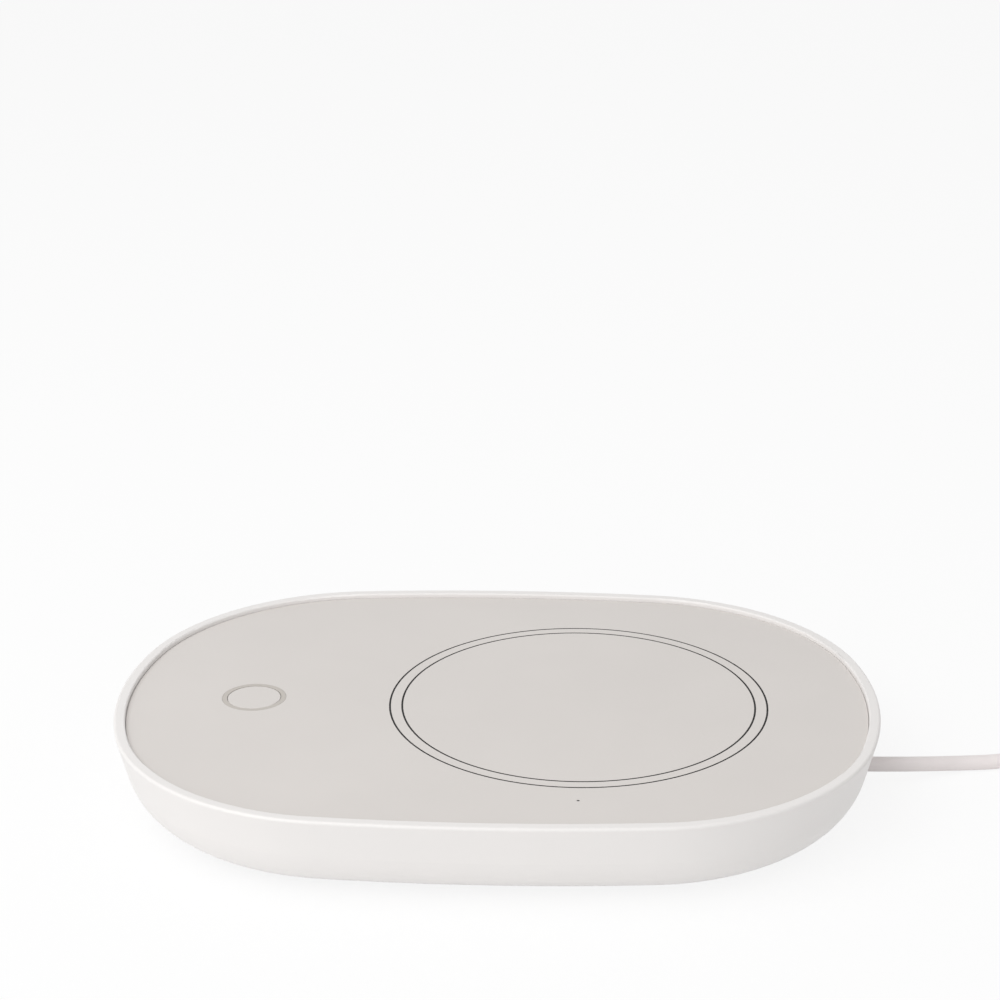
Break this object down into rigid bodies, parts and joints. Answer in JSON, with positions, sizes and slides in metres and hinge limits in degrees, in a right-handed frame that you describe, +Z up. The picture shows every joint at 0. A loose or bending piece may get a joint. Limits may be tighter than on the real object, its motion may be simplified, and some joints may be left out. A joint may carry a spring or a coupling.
{
  "type": "electric mug warmer",
  "caption": "Flat rounded warming tray with a flush round heated plate, a round power key, a raised rim, rubber feet and a thin lead ending in a USB plug.",
  "frame": {"origin": "centre of the casing outline, on the floor that the feet stand on", "axes": "+X along the long side towards the lead, -Y is the front, +Z is up"},
  "size_m": [0.2385, 0.1073, 0.017],
  "materials": {
    "white_shell": "satin moulded",
    "greige_panel": "fine matte",
    "dark_seal": "matte",
    "smoked_lens": "smoked, translucent",
    "pale_lens": "frosted, translucent",
    "adhesive": "film",
    "foot_rubber": "matte",
    "fibre_pad": "felted fibre",
    "amber_film": "clear amber",
    "etched_foil": "etched foil",
    "plated_steel": "zinc or nickel plated",
    "black_plastic": "moulded",
    "board_laminate": "solder mask",
    "lamp_body": "clear resin",
    "ceramic_chip": "ceramic chip",
    "can_aluminium": "drawn can",
    "connector_plastic": "moulded",
    "wire_insulation": "soft insulation",
    "cable_sheath": "soft sheath",
    "plain_plastic": "moulded",
    "tie_plastic": "thin band",
    "plug_plastic": "moulded",
    "gilded_contact": "gilded"
  },
  "bodies": {
    "warmer": {"base_cover": "white_shell", "board_screws": "plated_steel", "cable_bar": "plain_plastic", "cable_bar_screws": "plated_steel", "cable_coil": "cable_sheath", "cable_entry": "cable_sheath", "cable_grommet": "cable_sheath", "cable_run": "cable_sheath", "cable_tail": "cable_sheath", "cable_tie": "tie_plastic", "capacitors": "can_aluminium", "casing": "white_shell", "control_board": "board_laminate", "controller_chip": "black_plastic", "cover_screws": "plated_steel", "feet": "foot_rubber", "heater_clamp": "plated_steel", "heater_clamp_screws": "plated_steel", "heater_track": "etched_foil", "heater_wires": "wire_insulation", "heating_film": "amber_film", "indicator_board": "board_laminate", "indicator_lamp": "lamp_body", "indicator_light_pipe": "smoked_lens", "indicator_screw": "plated_steel", "indicator_wires": "wire_insulation", "insulation_pad": "fibre_pad", "key_lamps": "lamp_body", "key_light_ring": "pale_lens", "panel_tape": "adhesive", "plate_seal": "dark_seal", "plate_trim_ring": "greige_panel", "plug_body": "plug_plastic", "plug_contacts": "gilded_contact", "plug_shell": "plated_steel", "plug_tongue": "plug_plastic", "power_transistor": "black_plastic", "resistors": "ceramic_chip", "ring_seal": "dark_seal", "sensor_wires": "wire_insulation", "supply_wires": "wire_insulation", "tact_switch": "black_plastic", "thermal_fuse": "plated_steel", "thermistor": "black_plastic", "top_panel": "greige_panel", "warming_plate": "greige_panel", "wire_connectors": "connector_plastic"},
    "key": {"power_key": "greige_panel", "switch_plunger": "black_plastic"}
  },
  "joints": [
    {"name": "key_press", "type": "slide", "parent": "warmer", "child": "key", "axis": [0, 0, -1], "range_m": [0, 0.0005], "stiffness_N_per_m": 3000}
  ]
}
